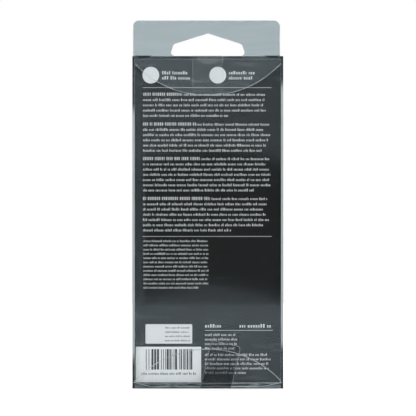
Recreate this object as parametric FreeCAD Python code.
import FreeCAD, Part
import math
import os

from FreeCAD import Vector

# Eyebrow razor in its clear hanging box. Millimetres, +Z up. The printed back of the box faces -Y,
# the front faces +Y, and the origin lies under the middle of the box.

# Clear sheet and running room
SHEET = 0.4
FOLD_GAP = 0.15
FOLD_RADIUS_SHARE = 0.7
CUT_OVERRUN = 2.0

# Box body, outside sizes, with the room that it leaves beyond each end of the tray's pocket
BOX_WIDTH = 80.0
BOX_DEPTH = 23.0
BOX_END_ROOM = 7.625

# Hang tab above the back panel
TAB_LEFT_INSET = 0.3
TAB_RIGHT_INSET = 1.7
TAB_HEIGHT = 18.9
TAB_CORNER_RADIUS = 3.3

# Roof-shaped hang hole, standing on the fold between tab and box
HOLE_WIDTH = 40.3
HOLE_SHOULDER_WIDTH = 36.1
HOLE_SHOULDER_HEIGHT = 6.2
HOLE_HEIGHT = 11.9
HOLE_FOOT_RADIUS = 2.0
HOLE_SHOULDER_RADIUS = 2.4
HOLE_APEX_RADIUS = 3.0

# Glue flap inside the back panel
GLUE_FLAP_WIDTH = 6.0
GLUE_FLAP_END_ROOM = 5.6
GLUE_FLAP_END_SLOPE = 6.0

# Lids and round-ended tuck flaps
LID_SIDE_ROOM = 0.3
TUCK_DEPTH = 21.0
TUCK_SIDE_ROOM = 0.7
TUCK_STRAIGHT_SIDE = 3.6
TUCK_LEAN_DEG = 6.5
LOCK_SLIT_LENGTH = 8.5
LOCK_SLIT_WIDTH = 0.6

# Dust flaps
DUST_LENGTH = 24.0
DUST_FRONT_ROOM = 0.6
DUST_BACK_ROOM = 4.2
DUST_FRONT_TAPER = 4.0
DUST_BACK_TAPER = 2.5
DUST_CORNER_RADIUS = 2.0

# Clear tape seals
SEAL_SHEET = 0.1
SEAL_WIDTH = 16.0
SEAL_TEAR_GAP = 0.1
SEAL_CORNER_RADIUS = 1.5
TOP_SEAL_DROP = 21.0
TOP_SEAL_LID_LENGTH = 13.0
BOTTOM_SEAL_RISE = 24.5
BOTTOM_SEAL_LID_LENGTH = 12.0
BOTTOM_SEAL_OFFSET = 4.2
BOTTOM_SEAL_TILT_DEG = 13.0

# Printed card
CARD_SIDE_ROOM = 0.7
CARD_THICKNESS = 0.5
CARD_BACK_GAP = 3.2
CARD_TOP_ROOM = 1.1
CARD_BOTTOM_ROOM = 2.8
CARD_CORNER_RADIUS = 1.0

# Formed tray
TRAY_SHEET = 0.5
TRAY_SEAT_GAP = 0.1
TRAY_FLANGE = 3.0
TRAY_DRAFT = 1.8
TRAY_CORNER_RADIUS = 5.0
TRAY_FRONT_ROOM = 0.3

# Tray pocket: a slot for the handle that opens into a finger bay at the cap's end
POCKET_DEPTH = 10.4
POCKET_SIDE_ROOM = 1.2
POCKET_END_ROOM = 1.0
POCKET_CORNER_RADIUS = 2.5
BAY_WIDTH = 32.0
BAY_OVERLAP = 12.0
BAY_CORNER_RADIUS = 8.0
GRIP_RIB_RADIUS = 1.6
GRIP_RIB_ROOM = 0.1

# Razor handle, with its width and thickness from butt to head
HANDLE_LENGTH = 84.0
HANDLE_HALF_WIDTH = 5.5
HANDLE_HALF_THICKNESS = 3.9
HANDLE_BUTT_RADIUS = 2.4
HANDLE_SPANS = 10
BUTT_SPANS = 5
HANDLE_WIDTH_SHARES = (0.88, 1.0, 0.82, 0.92)
HANDLE_THICKNESS_SHARES = (0.86, 1.0, 0.78, 0.80)
GRIP_RIB_PLACE_SHARES = (0.28, 0.39)
GRIP_GROOVE_COUNT = 3
GRIP_GROOVE_WIDTH = 1.2
GRIP_GROOVE_DEPTH = 0.35
GRIP_GROOVE_PITCH = 4.0
GRIP_GROOVE_START = 52.0

# Razor head: spine, blade, guard comb and clamp plate stacked back to front
HEAD_BLADE_ROOM = 5.0
HEAD_ROOT = 6.0
HEAD_CORNER_RADIUS = 1.4
SPINE_HALF_WIDTH = 3.2
SPINE_EDGE = 2.4
SPINE_THICKNESS = 1.5
BLADE_THICKNESS = 0.25
BLADE_LENGTH = 31.0
BLADE_BACK = 2.6
BLADE_EDGE = 3.6
BLADE_BEVEL = 0.9
BLADE_EDGE_THICKNESS = 0.04
COMB_THICKNESS = 0.5
COMB_TIP = 4.0
COMB_BACK = 2.0
COMB_SLOT_DEPTH = 1.1
COMB_SLOT_WIDTH = 0.7
COMB_PITCH = 1.4
CLAMP_THICKNESS = 1.2
CLAMP_BLADE_ROOM = 1.0
CLAMP_EDGE_RADIUS = 0.5
PIN_RADIUS = 0.7
PIN_FIT = 0.02
PIN_PLACE_SHARES = (0.22, 0.78)

# Blade cap
CAP_ROOM = 0.35
CAP_WALL = 1.1
CAP_END_WALL = 1.6
CAP_SEAT_GAP = 0.2
CAP_END_RADIUS = 1.2
CAP_SIDE_RADIUS = 1.8
CAP_RIDGE_COUNT = 5
CAP_RIDGE_RADIUS = 0.9
CAP_RIDGE_HEIGHT = 0.35
CAP_RIDGE_PITCH = 2.6
CAP_RIDGE_START = 14.0
CAP_TRAVEL = 37.0

# Places worked out from the sizes above
HEAD_LENGTH = BLADE_LENGTH + HEAD_BLADE_ROOM
CLAMP_LENGTH = BLADE_LENGTH + CLAMP_BLADE_ROOM
RAZOR_LENGTH = HANDLE_LENGTH + HEAD_LENGTH
CAP_LENGTH = HEAD_LENGTH - CAP_SEAT_GAP + CAP_ROOM + CAP_END_WALL
POCKET_LENGTH = HANDLE_LENGTH + CAP_SEAT_GAP + CAP_LENGTH + CAP_TRAVEL + 2 * POCKET_END_ROOM
BOX_HEIGHT = POCKET_LENGTH + 2 * BOX_END_ROOM
BASE = SEAL_SHEET
BOX_TOP = BASE + BOX_HEIGHT
BOX_MIDDLE = BASE + BOX_HEIGHT / 2
HALF_WIDTH = BOX_WIDTH / 2
BACK_FACE = -BOX_DEPTH / 2
FRONT_FACE = BOX_DEPTH / 2
BACK_INSIDE = BACK_FACE + SHEET
FRONT_INSIDE = FRONT_FACE - SHEET
SIDE_INSIDE = HALF_WIDTH - SHEET
LID_UNDER = BOX_TOP - SHEET
LID_BACK = BACK_INSIDE + FOLD_GAP + SHEET
DUST_TOP = LID_UNDER - FOLD_GAP
DUST_UNDER = DUST_TOP - SHEET
WALL_TOP = DUST_UNDER - FOLD_GAP
CARD_HALF_WIDTH = SIDE_INSIDE - CARD_SIDE_ROOM
CARD_BACK = BACK_INSIDE + CARD_BACK_GAP
CARD_FRONT = CARD_BACK + CARD_THICKNESS
INSERT_BOTTOM = 2 * BOX_MIDDLE - DUST_UNDER + TRAY_SEAT_GAP
INSERT_TOP = DUST_UNDER - TRAY_SEAT_GAP
TRAY_FRONT = FRONT_INSIDE - TRAY_FRONT_ROOM
POCKET_FLOOR = TRAY_FRONT - POCKET_DEPTH
POCKET_HALF_WIDTH = HANDLE_HALF_WIDTH + POCKET_SIDE_ROOM
POCKET_BOTTOM = BOX_MIDDLE - POCKET_LENGTH / 2
POCKET_TOP = BOX_MIDDLE + POCKET_LENGTH / 2
RAZOR_BOTTOM = POCKET_BOTTOM + POCKET_END_ROOM
RAZOR_PLANE = POCKET_FLOOR + HANDLE_HALF_THICKNESS
HEAD_STACK = SPINE_THICKNESS + BLADE_THICKNESS + COMB_THICKNESS + CLAMP_THICKNESS
SPINE_BACK = -HEAD_STACK / 2
BLADE_SEAT = SPINE_BACK + SPINE_THICKNESS
COMB_SEAT = BLADE_SEAT + BLADE_THICKNESS
CLAMP_SEAT = COMB_SEAT + COMB_THICKNESS

X_AXIS = Vector(1, 0, 0)
Y_AXIS = Vector(0, 1, 0)
Z_AXIS = Vector(0, 0, 1)


def block(x_range, y_range, z_range):
    """Box between two values on each axis."""
    corner = Vector(x_range[0], y_range[0], z_range[0])
    return Part.makeBox(
        x_range[1] - x_range[0], y_range[1] - y_range[0], z_range[1] - z_range[0], corner
    )


def edges_along(shape, axis):
    """Straight edges of a shape that run along an axis."""
    found = []
    for edge in shape.Edges:
        run = edge.Vertexes[-1].Point - edge.Vertexes[0].Point
        if run.Length > 0 and abs(abs(run.normalize().dot(axis)) - 1) < 1e-6:
            found.append(edge)
    return found


def rounded_block(x_range, y_range, z_range, axis, radius):
    """Box whose four edges along one axis are rounded."""
    solid = block(x_range, y_range, z_range)
    return solid.makeFillet(radius, edges_along(solid, axis))


def upright_plate(points, y_range):
    """Plate in the XZ plane from a closed outline of straight runs, thick along Y."""
    corners = [Vector(x, y_range[0], z) for x, z in points]
    face = Part.Face(Part.makePolygon(corners + corners[:1]))
    return face.extrude(Y_AXIS * (y_range[1] - y_range[0]))


def flat_plate(points, z_range):
    """Plate in the XY plane from a closed outline of straight runs, thick along Z."""
    corners = [Vector(x, y, z_range[0]) for x, y in points]
    face = Part.Face(Part.makePolygon(corners + corners[:1]))
    return face.extrude(Z_AXIS * (z_range[1] - z_range[0]))


def edges_at(shape, axis, x, z):
    """Edges along an axis that pass through one place in the XZ plane."""
    near = SHEET / 100
    return [
        edge
        for edge in edges_along(shape, axis)
        if abs(edge.Vertexes[0].X - x) < near and abs(edge.Vertexes[0].Z - z) < near
    ]


def mirrored_up_down(shape):
    """Copy of a top piece for the bottom of the box."""
    return shape.mirror(Vector(0, 0, BOX_MIDDLE), Z_AXIS)


def mirrored_left_right(shape):
    """Copy of a left piece for the right of the box."""
    return shape.mirror(Vector(0, 0, 0), X_AXIS)


# Box body


def hang_hole():
    """Cutter for the hang hole: upright foot, sloping roof and rounded corners."""
    foot = HOLE_WIDTH / 2
    shoulder = HOLE_SHOULDER_WIDTH / 2
    shoulder_z = BOX_TOP + HOLE_SHOULDER_HEIGHT
    apex_z = BOX_TOP + HOLE_HEIGHT
    outline = [
        (-foot, BOX_TOP),
        (foot, BOX_TOP),
        (shoulder, shoulder_z),
        (0, apex_z),
        (-shoulder, shoulder_z),
    ]
    cutter = upright_plate(outline, (BACK_FACE - CUT_OVERRUN, BACK_INSIDE + CUT_OVERRUN))
    for x, z, radius in (
        (-foot, BOX_TOP, HOLE_FOOT_RADIUS),
        (foot, BOX_TOP, HOLE_FOOT_RADIUS),
        (-shoulder, shoulder_z, HOLE_SHOULDER_RADIUS),
        (shoulder, shoulder_z, HOLE_SHOULDER_RADIUS),
        (0, apex_z, HOLE_APEX_RADIUS),
    ):
        cutter = cutter.makeFillet(radius, edges_at(cutter, Y_AXIS, x, z))
    return cutter


def back_panel():
    """Back wall with the hang tab above it."""
    wall = block((-HALF_WIDTH, HALF_WIDTH), (BACK_FACE, BACK_INSIDE), (BASE, BOX_TOP))
    folds = [edge for edge in edges_along(wall, Z_AXIS) if edge.Vertexes[0].Y < BACK_INSIDE - SHEET / 2]
    wall = wall.makeFillet(SHEET * FOLD_RADIUS_SHARE, folds)
    tab_left = TAB_LEFT_INSET - HALF_WIDTH
    tab_right = HALF_WIDTH - TAB_RIGHT_INSET
    tab_top = BOX_TOP + TAB_HEIGHT
    tab = block((tab_left, tab_right), (BACK_FACE, BACK_INSIDE), (BOX_TOP - SHEET, tab_top))
    upper = edges_at(tab, Y_AXIS, tab_left, tab_top) + edges_at(tab, Y_AXIS, tab_right, tab_top)
    tab = tab.makeFillet(TAB_CORNER_RADIUS, upper)
    return wall.fuse(tab).removeSplitter().cut(hang_hole())


def front_panel():
    """Front wall, between the creases of the two lids."""
    wall = block(
        (-HALF_WIDTH, HALF_WIDTH),
        (FRONT_INSIDE, FRONT_FACE),
        (2 * BOX_MIDDLE - LID_UNDER + FOLD_GAP, LID_UNDER - FOLD_GAP),
    )
    folds = [edge for edge in edges_along(wall, Z_AXIS) if edge.Vertexes[0].Y > FRONT_INSIDE + SHEET / 2]
    return wall.makeFillet(SHEET * FOLD_RADIUS_SHARE, folds)


def left_side_panel():
    """Side wall between the front and back walls."""
    return block(
        (-HALF_WIDTH, -SIDE_INSIDE),
        (BACK_INSIDE, FRONT_INSIDE),
        (2 * BOX_MIDDLE - WALL_TOP, WALL_TOP),
    )


def glue_flap():
    """Strip of the left wall's edge, glued inside the back wall, with sloping ends."""
    outer = -SIDE_INSIDE
    inner = outer + GLUE_FLAP_WIDTH
    top = WALL_TOP - GLUE_FLAP_END_ROOM
    low = 2 * BOX_MIDDLE - top
    outline = [
        (outer, low),
        (inner, low + GLUE_FLAP_END_SLOPE),
        (inner, top - GLUE_FLAP_END_SLOPE),
        (outer, top),
    ]
    return upright_plate(outline, (BACK_INSIDE, BACK_INSIDE + SHEET))


# Lids, tuck flaps and dust flaps


def top_lid():
    """Lid panel with a lock slit at each end of its tuck crease."""
    half = HALF_WIDTH - LID_SIDE_ROOM
    lid = block((-half, half), (LID_BACK, FRONT_FACE), (LID_UNDER, BOX_TOP))
    slit = block(
        (-half - CUT_OVERRUN, -half + LOCK_SLIT_LENGTH),
        (LID_BACK - CUT_OVERRUN, LID_BACK + LOCK_SLIT_WIDTH),
        (LID_UNDER - CUT_OVERRUN, BOX_TOP + CUT_OVERRUN),
    )
    return lid.cut(slit).cut(mirrored_left_right(slit))


def top_tuck_flap():
    """Tuck flap with straight shoulders and a round end, leaning from its crease to the card."""
    half = SIDE_INSIDE - TUCK_SIDE_ROOM
    shoulder = LID_UNDER - TUCK_STRAIGHT_SIDE
    tip = BOX_TOP - TUCK_DEPTH
    back = LID_BACK - SHEET
    outline = ((-half, shoulder), (-half, LID_UNDER), (half, LID_UNDER), (half, shoulder))
    corners = [Vector(x, back, z) for x, z in outline]
    sides = [Part.LineSegment(a, b).toShape() for a, b in zip(corners, corners[1:])]
    round_end = Part.Arc(corners[3], Vector(0, back, tip), corners[0]).toShape()
    face = Part.Face(Part.Wire(sides + [round_end]))
    flap = face.extrude(Y_AXIS * SHEET)
    flap.rotate(Vector(0, LID_BACK, LID_UNDER), X_AXIS, TUCK_LEAN_DEG)
    return flap


def top_dust_flap_left():
    """Dust flap folded in from the left wall, narrower at its free end."""
    root = -HALF_WIDTH
    tip = root + DUST_LENGTH
    front = FRONT_INSIDE - DUST_FRONT_ROOM
    back = BACK_INSIDE + DUST_BACK_ROOM
    outline = [
        (root, back),
        (tip, back + DUST_BACK_TAPER),
        (tip, front - DUST_FRONT_TAPER),
        (root, front),
    ]
    flap = flat_plate(outline, (DUST_UNDER, DUST_TOP))
    free = [edge for edge in edges_along(flap, Z_AXIS) if edge.Vertexes[0].X > root + DUST_LENGTH / 2]
    return flap.makeFillet(DUST_CORNER_RADIUS, free)


# Seals


def top_seal_back():
    """Half of the top seal that lies on the back wall."""
    half = SEAL_WIDTH / 2
    low = BOX_TOP - TOP_SEAL_DROP
    tape = block((-half, half), (BACK_FACE - SEAL_SHEET, BACK_FACE), (low, BOX_TOP))
    corners = edges_at(tape, Y_AXIS, -half, low) + edges_at(tape, Y_AXIS, half, low)
    return tape.makeFillet(SEAL_CORNER_RADIUS, corners)


def top_seal_lid():
    """Half of the top seal that passes through the hang hole onto the lid."""
    half = SEAL_WIDTH / 2
    front = BACK_FACE + TOP_SEAL_LID_LENGTH
    tape = block((-half, half), (BACK_FACE + SEAL_TEAR_GAP, front), (BOX_TOP, BOX_TOP + SEAL_SHEET))
    corners = [edge for edge in edges_along(tape, Z_AXIS) if edge.Vertexes[0].Y > front - SEAL_SHEET]
    return tape.makeFillet(SEAL_CORNER_RADIUS, corners)


def bottom_seal_back():
    """Half of the bottom seal on the back wall, leaning to the right."""
    half = SEAL_WIDTH / 2
    low = -SEAL_WIDTH
    tape = block((-half, half), (BACK_FACE - SEAL_SHEET, BACK_FACE), (low, BOTTOM_SEAL_RISE))
    corners = edges_at(tape, Y_AXIS, -half, BOTTOM_SEAL_RISE) + edges_at(tape, Y_AXIS, half, BOTTOM_SEAL_RISE)
    tape = tape.makeFillet(SEAL_CORNER_RADIUS, corners)
    tape.rotate(Vector(0, 0, 0), Y_AXIS, BOTTOM_SEAL_TILT_DEG)
    tape.translate(Vector(BOTTOM_SEAL_OFFSET, 0, BASE))
    under = block(
        (-HALF_WIDTH, HALF_WIDTH),
        (BACK_FACE - CUT_OVERRUN, BACK_FACE + CUT_OVERRUN),
        (BASE - BOX_HEIGHT, BASE),
    )
    return tape.cut(under)


def bottom_seal_lid():
    """Half of the bottom seal on the underside of the bottom lid, in line with the other half."""
    half = SEAL_WIDTH / 2
    tape = block((-half, half), (-SEAL_WIDTH, BOTTOM_SEAL_LID_LENGTH), (0, SEAL_SHEET))
    corners = [
        edge for edge in edges_along(tape, Z_AXIS) if edge.Vertexes[0].Y > BOTTOM_SEAL_LID_LENGTH - SEAL_SHEET
    ]
    tape = tape.makeFillet(SEAL_CORNER_RADIUS, corners)
    tape.rotate(Vector(0, 0, 0), Z_AXIS, BOTTOM_SEAL_TILT_DEG)
    tape.translate(Vector(BOTTOM_SEAL_OFFSET, BACK_FACE, 0))
    behind = block(
        (-HALF_WIDTH, HALF_WIDTH),
        (BACK_FACE - BOX_DEPTH, BACK_FACE + SEAL_TEAR_GAP),
        (-CUT_OVERRUN, CUT_OVERRUN),
    )
    return tape.cut(behind)


# Card and tray


def insert_card():
    """Printed card that stands behind the tray."""
    return rounded_block(
        (-CARD_HALF_WIDTH, CARD_HALF_WIDTH),
        (CARD_BACK, CARD_FRONT),
        (BASE + CARD_BOTTOM_ROOM, BOX_TOP - CARD_TOP_ROOM),
        Y_AXIS,
        CARD_CORNER_RADIUS,
    )


def rounded_outline(half_width, low, high, radius, y):
    """Closed wire of a rounded rectangle in the XZ plane."""
    plate = rounded_block((-half_width, half_width), (y, y + SHEET), (low, high), Y_AXIS, radius)
    for face in plate.Faces:
        if abs(face.CenterOfMass.y - y) < SHEET / 100:
            return face.OuterWire


def tray_form(inset):
    """Drafted block of the tray's raised body, drawn in by one sheet for its hollow."""
    half = CARD_HALF_WIDTH - TRAY_FLANGE - inset
    low = INSERT_BOTTOM + TRAY_FLANGE + inset
    high = INSERT_TOP - TRAY_FLANGE - inset
    radius = TRAY_CORNER_RADIUS - inset
    foot = rounded_outline(half, low, high, radius, CARD_FRONT)
    head = rounded_outline(
        half - TRAY_DRAFT, low + TRAY_DRAFT, high - TRAY_DRAFT, radius, TRAY_FRONT - inset
    )
    return Part.makeLoft([foot, head], True, True)


def pocket_form(grow, back):
    """Block of the razor's pocket with its finger bay, from a depth to past the tray's front."""
    y_range = (back, TRAY_FRONT + CUT_OVERRUN)
    half = POCKET_HALF_WIDTH + grow
    bay_half = BAY_WIDTH / 2 + grow
    bay_low = POCKET_TOP - CAP_TRAVEL - BAY_OVERLAP - grow
    slot = rounded_block(
        (-half, half), y_range, (POCKET_BOTTOM - grow, POCKET_TOP + grow), Y_AXIS, POCKET_CORNER_RADIUS + grow
    )
    bay = rounded_block(
        (-bay_half, bay_half), y_range, (bay_low, POCKET_TOP + grow), Y_AXIS, BAY_CORNER_RADIUS + grow
    )
    return slot.fuse(bay)


def grip_ribs():
    """Half-round ribs on the pocket's side walls that hold the handle at its widest part."""
    ribs = []
    reach = HANDLE_HALF_WIDTH + GRIP_RIB_ROOM + GRIP_RIB_RADIUS
    for share in GRIP_RIB_PLACE_SHARES:
        for side in (-1, 1):
            foot = Vector(side * reach, POCKET_FLOOR - TRAY_SHEET, RAZOR_BOTTOM + share * HANDLE_LENGTH)
            ribs.append(Part.makeCylinder(GRIP_RIB_RADIUS, POCKET_DEPTH + TRAY_SHEET, foot, Y_AXIS))
    return ribs


def product_tray():
    """Thin formed tray: flange on the card, raised body, razor pocket and finger bay."""
    flange = rounded_block(
        (-CARD_HALF_WIDTH, CARD_HALF_WIDTH),
        (CARD_FRONT, CARD_FRONT + TRAY_SHEET),
        (INSERT_BOTTOM, INSERT_TOP),
        Y_AXIS,
        CARD_CORNER_RADIUS,
    )
    body = flange.fuse(tray_form(0)).cut(tray_form(TRAY_SHEET))
    walls = pocket_form(TRAY_SHEET, POCKET_FLOOR - TRAY_SHEET).common(tray_form(0))
    body = body.fuse(walls).cut(pocket_form(0, POCKET_FLOOR))
    for rib in grip_ribs():
        body = body.fuse(rib.common(tray_form(0)))
    return body.removeSplitter()


# Razor, drawn along +Z with its butt at zero, then laid in the pocket


def in_pocket(shape):
    """Razor piece moved from its own place to the pocket."""
    placed = shape.copy()
    placed.translate(Vector(0, RAZOR_PLANE, RAZOR_BOTTOM))
    return placed


def eased(shares, place):
    """Share at a place from 0 to 1 along evenly spaced shares, easing in and out of each one."""
    along = place * (len(shares) - 1)
    index = min(int(along), len(shares) - 2)
    ease = (1 - math.cos(math.pi * (along - index))) / 2
    return shares[index] + (shares[index + 1] - shares[index]) * ease


def handle_section(height):
    """Oval section of the handle at a height above the butt, drawn in where the butt is rounded."""
    place = height / HANDLE_LENGTH
    short_of_round = max(HANDLE_BUTT_RADIUS - height, 0)
    draw_in = HANDLE_BUTT_RADIUS - math.sqrt(HANDLE_BUTT_RADIUS**2 - short_of_round**2)
    half_width = HANDLE_HALF_WIDTH * eased(HANDLE_WIDTH_SHARES, place) - draw_in
    half_thickness = HANDLE_HALF_THICKNESS * eased(HANDLE_THICKNESS_SHARES, place) - draw_in
    return Part.Wire(Part.Ellipse(Vector(0, 0, height), half_width, half_thickness).toShape())


def handle_heights():
    """Heights of the handle's sections: close together round the butt, then even."""
    quarter = math.pi / 2
    rounds = [HANDLE_BUTT_RADIUS * (1 - math.cos(quarter * step / BUTT_SPANS)) for step in range(BUTT_SPANS)]
    straight = HANDLE_LENGTH - HANDLE_BUTT_RADIUS
    evens = [HANDLE_BUTT_RADIUS + straight * step / HANDLE_SPANS for step in range(HANDLE_SPANS + 1)]
    return rounds + evens


def pin_places():
    """Heights of the two clamp pins above the butt."""
    return [HANDLE_LENGTH + share * CLAMP_LENGTH for share in PIN_PLACE_SHARES]


def pin_holes(radius, y_range):
    """Round bars through the head at the places of the two clamp pins."""
    bars = []
    for z in pin_places():
        foot = Vector(0, y_range[0], z)
        bars.append(Part.makeCylinder(radius, y_range[1] - y_range[0], foot, Y_AXIS))
    return Part.makeCompound(bars)


def drilled(shape):
    """Head piece with the two pin holes."""
    return shape.cut(pin_holes(PIN_RADIUS + PIN_FIT, (-HEAD_STACK, HEAD_STACK)))


def razor_handle():
    """Lofted oval handle with grip grooves, carrying the flat spine of the head."""
    grip = Part.makeLoft([handle_section(height) for height in handle_heights()], True, True)
    waist = HANDLE_HALF_THICKNESS * HANDLE_THICKNESS_SHARES[2]
    for index in range(GRIP_GROOVE_COUNT):
        middle = GRIP_GROOVE_START + index * GRIP_GROOVE_PITCH
        outline = [
            (middle, waist - GRIP_GROOVE_DEPTH),
            (middle + GRIP_GROOVE_WIDTH, waist + GRIP_GROOVE_DEPTH),
            (middle - GRIP_GROOVE_WIDTH, waist + GRIP_GROOVE_DEPTH),
        ]
        for side in (-1, 1):
            corners = [Vector(-HANDLE_HALF_WIDTH, side * y, z) for z, y in outline]
            face = Part.Face(Part.makePolygon(corners + corners[:1]))
            grip = grip.cut(face.extrude(X_AXIS * (2 * HANDLE_HALF_WIDTH)))
    spine = rounded_block(
        (-SPINE_HALF_WIDTH, SPINE_EDGE),
        (SPINE_BACK, BLADE_SEAT),
        (HANDLE_LENGTH - HEAD_ROOT, RAZOR_LENGTH),
        Y_AXIS,
        HEAD_CORNER_RADIUS,
    )
    return drilled(grip.fuse(spine))


def blade_foot():
    """Height at which the blade and the comb start above the butt."""
    return HANDLE_LENGTH + (CLAMP_LENGTH - BLADE_LENGTH) / 2


def razor_blade():
    """Thin steel blade with a bevelled edge along its right side."""
    foot = blade_foot()
    middle = BLADE_SEAT + BLADE_THICKNESS / 2
    edge_half = BLADE_EDGE_THICKNESS / 2
    section = [
        (-BLADE_BACK, BLADE_SEAT),
        (BLADE_EDGE - BLADE_BEVEL, BLADE_SEAT),
        (BLADE_EDGE, middle - edge_half),
        (BLADE_EDGE, middle + edge_half),
        (BLADE_EDGE - BLADE_BEVEL, COMB_SEAT),
        (-BLADE_BACK, COMB_SEAT),
    ]
    return drilled(flat_plate(section, (foot, foot + BLADE_LENGTH)))


def guard_comb():
    """Comb of short teeth that stands just past the blade's edge."""
    foot = blade_foot()
    comb = block((-COMB_BACK, COMB_TIP), (COMB_SEAT, CLAMP_SEAT), (foot, foot + BLADE_LENGTH))
    count = int(BLADE_LENGTH / COMB_PITCH)
    first = foot + (BLADE_LENGTH - (count - 1) * COMB_PITCH - COMB_SLOT_WIDTH) / 2
    slots = []
    for index in range(count):
        low = first + index * COMB_PITCH
        slots.append(
            block(
                (COMB_TIP - COMB_SLOT_DEPTH, COMB_TIP + CUT_OVERRUN),
                (COMB_SEAT - CUT_OVERRUN, CLAMP_SEAT + CUT_OVERRUN),
                (low, low + COMB_SLOT_WIDTH),
            )
        )
    return drilled(comb.cut(slots))


def blade_clamp():
    """Clamp plate over the comb, with rounded front edges."""
    plate = rounded_block(
        (-SPINE_HALF_WIDTH, SPINE_EDGE),
        (CLAMP_SEAT, CLAMP_SEAT + CLAMP_THICKNESS),
        (HANDLE_LENGTH, HANDLE_LENGTH + CLAMP_LENGTH),
        Y_AXIS,
        HEAD_CORNER_RADIUS,
    )
    front = max(plate.Faces, key=lambda face: face.CenterOfMass.y)
    return drilled(plate.makeFillet(CLAMP_EDGE_RADIUS, front.Edges))


def clamp_pins():
    """Two round pins through the stack of the head."""
    return pin_holes(PIN_RADIUS, (SPINE_BACK, SPINE_BACK + HEAD_STACK))


def blade_cap():
    """Slide-off cap: a closed sheath over the head, with ridges for the fingers."""
    foot = HANDLE_LENGTH + CAP_SEAT_GAP
    top = foot + CAP_LENGTH
    inside_x = (-SPINE_HALF_WIDTH - CAP_ROOM, COMB_TIP + CAP_ROOM)
    inside_y = (SPINE_BACK - CAP_ROOM, SPINE_BACK + HEAD_STACK + CAP_ROOM)
    outside_x = (inside_x[0] - CAP_WALL, inside_x[1] + CAP_WALL)
    outside_y = (inside_y[0] - CAP_WALL, inside_y[1] + CAP_WALL)
    cap = rounded_block(outside_x, outside_y, (foot, top), Z_AXIS, CAP_SIDE_RADIUS)
    end = max(cap.Faces, key=lambda face: face.CenterOfMass.z)
    cap = cap.makeFillet(CAP_END_RADIUS, end.Edges)
    sink = CAP_RIDGE_RADIUS - CAP_RIDGE_HEIGHT
    for index in range(CAP_RIDGE_COUNT):
        z = foot + CAP_RIDGE_START + index * CAP_RIDGE_PITCH
        for y in (outside_y[0] + sink, outside_y[1] - sink):
            ridge_foot = Vector(inside_x[0] + CAP_WALL, y, z)
            ridge_run = inside_x[1] - inside_x[0] - 2 * CAP_WALL
            cap = cap.fuse(Part.makeCylinder(CAP_RIDGE_RADIUS, ridge_run, ridge_foot, X_AXIS))
    hollow = block(inside_x, inside_y, (foot - CUT_OVERRUN, top - CAP_END_WALL))
    return cap.cut(hollow).removeSplitter()


def all_pieces():
    """Every piece by its name."""
    left_wall = left_side_panel()
    lid = top_lid()
    tuck = top_tuck_flap()
    dust = top_dust_flap_left()
    pieces = {
        "back_panel": back_panel(),
        "front_panel": front_panel(),
        "left_side_panel": left_wall,
        "right_side_panel": mirrored_left_right(left_wall),
        "glue_flap": glue_flap(),
        "top_lid": lid,
        "top_tuck_flap": tuck,
        "top_dust_flap_left": dust,
        "top_dust_flap_right": mirrored_left_right(dust),
        "bottom_lid": mirrored_up_down(lid),
        "bottom_tuck_flap": mirrored_up_down(tuck),
        "bottom_dust_flap_left": mirrored_up_down(dust),
        "bottom_dust_flap_right": mirrored_up_down(mirrored_left_right(dust)),
        "top_seal_back": top_seal_back(),
        "top_seal_lid": top_seal_lid(),
        "bottom_seal_back": bottom_seal_back(),
        "bottom_seal_lid": bottom_seal_lid(),
        "insert_card": insert_card(),
        "product_tray": product_tray(),
    }
    razor = {
        "razor_handle": razor_handle(),
        "razor_blade": razor_blade(),
        "guard_comb": guard_comb(),
        "blade_clamp": blade_clamp(),
        "clamp_pins": clamp_pins(),
        "blade_cap": blade_cap(),
    }
    for name, shape in razor.items():
        pieces[name] = in_pocket(shape)
    return pieces


os.makedirs("parts", exist_ok=True)
for node, shape in all_pieces().items():
    shape.exportStep("parts/" + node + ".step")
    print(node, len(shape.Solids), round(shape.Volume, 3), shape.isValid())
